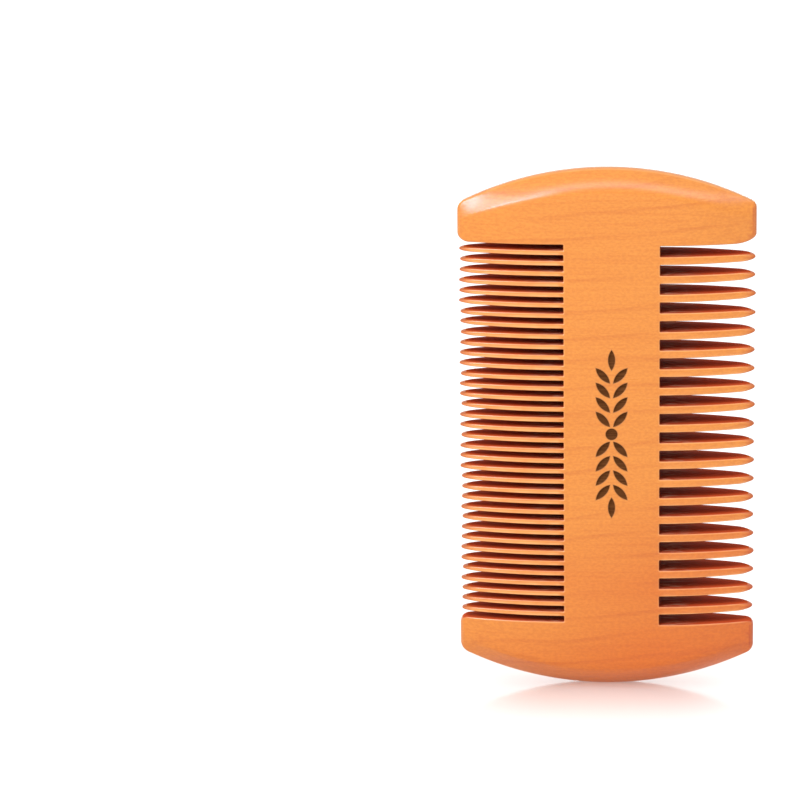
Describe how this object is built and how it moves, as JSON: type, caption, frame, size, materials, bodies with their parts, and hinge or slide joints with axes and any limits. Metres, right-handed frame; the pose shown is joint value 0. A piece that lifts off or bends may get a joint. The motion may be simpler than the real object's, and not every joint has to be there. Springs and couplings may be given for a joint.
{
  "type": "two-sided beard comb",
  "caption": "Flat wooden comb with a fine row and a coarse row of teeth on either side of a thick spine, and an arched guard at each end.",
  "frame": {"origin": "centre of the board: halfway across both rows, halfway through the thickness and halfway between the crowns of the two arches", "axes": "+X across the rows towards the coarse teeth, +Y through the thickness towards the plain back face, +Z along the length of the board"},
  "size_m": [0.06, 0.01, 0.108],
  "materials": {
    "wood": "close-grained fruitwood under a thin satin oil, warm orange-brown"
  },
  "bodies": {
    "root": {"comb": "wood"}
  },
  "joints": []
}
